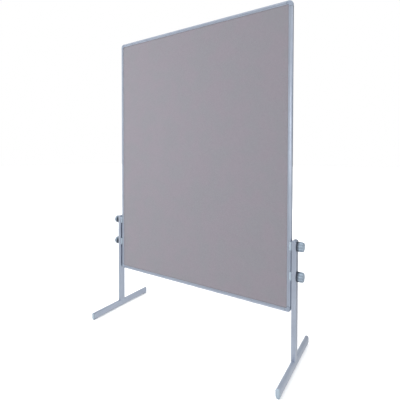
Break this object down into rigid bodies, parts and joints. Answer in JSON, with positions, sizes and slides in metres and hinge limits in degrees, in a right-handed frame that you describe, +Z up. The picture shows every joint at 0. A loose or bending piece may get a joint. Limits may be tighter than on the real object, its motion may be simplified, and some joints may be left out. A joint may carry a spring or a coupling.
{
  "type": "partition wall",
  "caption": "Free-standing felt-covered partition board in a rounded aluminium frame, set to height between T-foot stands by clamping hand knobs.",
  "frame": {"origin": "on the floor, midway between the two stands and midway between the front and back of the feet", "axes": "+Z up; +X across the board, to the right of someone facing its front; +Y from front to back"},
  "size_m": [1.2772, 0.47, 1.765],
  "materials": {
    "anodised_aluminium": "satin clear anodised, fine brushed grain along the length",
    "corner_plastic": "fine moulded texture, light blue grey",
    "knob_plastic": "semi-matt moulded, light blue grey",
    "dark_plastic": "matt moulded, dark slate",
    "felt": "needled felt, mauve grey",
    "fibreboard": "soft fibreboard, hidden inside the frame",
    "zinc_steel": "zinc plated"
  },
  "bodies": {
    "left_stand": {"post_left": "anodised_aluminium", "foot_tube_left": "anodised_aluminium", "post_insert_left": "dark_plastic", "foot_bolt_left": "zinc_steel", "foot_saddle_left": "zinc_steel", "post_cap_left": "corner_plastic", "foot_cap_left_front": "corner_plastic", "foot_cap_left_back": "corner_plastic", "sleeve_left_lower": "zinc_steel", "jaw_left_lower": "corner_plastic", "slot_nut_left_lower": "zinc_steel", "sleeve_left_upper": "zinc_steel", "jaw_left_upper": "corner_plastic", "slot_nut_left_upper": "zinc_steel"},
    "board": {"core_panel": "fibreboard", "felt_front": "felt", "felt_back": "felt", "frame_left": "anodised_aluminium", "frame_right": "anodised_aluminium", "frame_top": "anodised_aluminium", "frame_bottom": "anodised_aluminium", "corner_bottom_left": "corner_plastic", "corner_bottom_right": "corner_plastic", "corner_top_left": "corner_plastic", "corner_top_right": "corner_plastic", "bracket_bottom_left": "zinc_steel", "bracket_bottom_right": "zinc_steel", "bracket_top_left": "zinc_steel", "bracket_top_right": "zinc_steel"},
    "right_stand": {"post_right": "anodised_aluminium", "foot_tube_right": "anodised_aluminium", "post_insert_right": "dark_plastic", "foot_bolt_right": "zinc_steel", "foot_saddle_right": "zinc_steel", "post_cap_right": "corner_plastic", "foot_cap_right_front": "corner_plastic", "foot_cap_right_back": "corner_plastic", "sleeve_right_lower": "zinc_steel", "jaw_right_lower": "corner_plastic", "slot_nut_right_lower": "zinc_steel", "sleeve_right_upper": "zinc_steel", "jaw_right_upper": "corner_plastic", "slot_nut_right_upper": "zinc_steel"},
    "left_lower_washer": {"washer_left_lower": "dark_plastic"},
    "left_lower_knob": {"knob_left_lower": "knob_plastic", "stud_left_lower": "zinc_steel"},
    "left_upper_washer": {"washer_left_upper": "dark_plastic"},
    "left_upper_knob": {"knob_left_upper": "knob_plastic", "stud_left_upper": "zinc_steel"},
    "right_lower_washer": {"washer_right_lower": "dark_plastic"},
    "right_lower_knob": {"knob_right_lower": "knob_plastic", "stud_right_lower": "zinc_steel"},
    "right_upper_washer": {"washer_right_upper": "dark_plastic"},
    "right_upper_knob": {"knob_right_upper": "knob_plastic", "stud_right_upper": "zinc_steel"}
  },
  "joints": [
    {"name": "board_height", "type": "slide", "parent": "left_stand", "child": "board", "axis": [0, 0, 1], "range_m": [-0.2, 0.11]},
    {"name": "right_stand_slide", "type": "slide", "parent": "board", "child": "right_stand", "axis": [0, 0, 1], "range_m": [-0.11, 0.2]},
    {"name": "left_lower_knob_travel", "type": "slide", "parent": "left_stand", "child": "left_lower_washer", "axis": [-1, 0, 0], "range_m": [0, 0.0026]},
    {"name": "left_lower_knob_turn", "type": "hinge", "parent": "left_lower_washer", "child": "left_lower_knob", "pos_m": [-0.612, 0, 0.445], "axis": [-1, 0, 0], "range_deg": [0, 720]},
    {"name": "left_upper_knob_travel", "type": "slide", "parent": "left_stand", "child": "left_upper_washer", "axis": [-1, 0, 0], "range_m": [0, 0.0026]},
    {"name": "left_upper_knob_turn", "type": "hinge", "parent": "left_upper_washer", "child": "left_upper_knob", "pos_m": [-0.612, 0, 0.59], "axis": [-1, 0, 0], "range_deg": [0, 720]},
    {"name": "right_lower_knob_travel", "type": "slide", "parent": "right_stand", "child": "right_lower_washer", "axis": [1, 0, 0], "range_m": [0, 0.0026]},
    {"name": "right_lower_knob_turn", "type": "hinge", "parent": "right_lower_washer", "child": "right_lower_knob", "pos_m": [0.612, 0, 0.445], "axis": [1, 0, 0], "range_deg": [0, 720]},
    {"name": "right_upper_knob_travel", "type": "slide", "parent": "right_stand", "child": "right_upper_washer", "axis": [1, 0, 0], "range_m": [0, 0.0026]},
    {"name": "right_upper_knob_turn", "type": "hinge", "parent": "right_upper_washer", "child": "right_upper_knob", "pos_m": [0.612, 0, 0.59], "axis": [1, 0, 0], "range_deg": [0, 720]}
  ],
  "couplings": [
    {"joint": "right_stand_slide", "follows": "board_height", "ratio": -1},
    {"joint": "left_lower_knob_travel", "follows": "left_lower_knob_turn", "m_per_rad": 0.00019894},
    {"joint": "left_upper_knob_travel", "follows": "left_upper_knob_turn", "m_per_rad": 0.00019894},
    {"joint": "right_lower_knob_travel", "follows": "right_lower_knob_turn", "m_per_rad": 0.00019894},
    {"joint": "right_upper_knob_travel", "follows": "right_upper_knob_turn", "m_per_rad": 0.00019894}
  ]
}
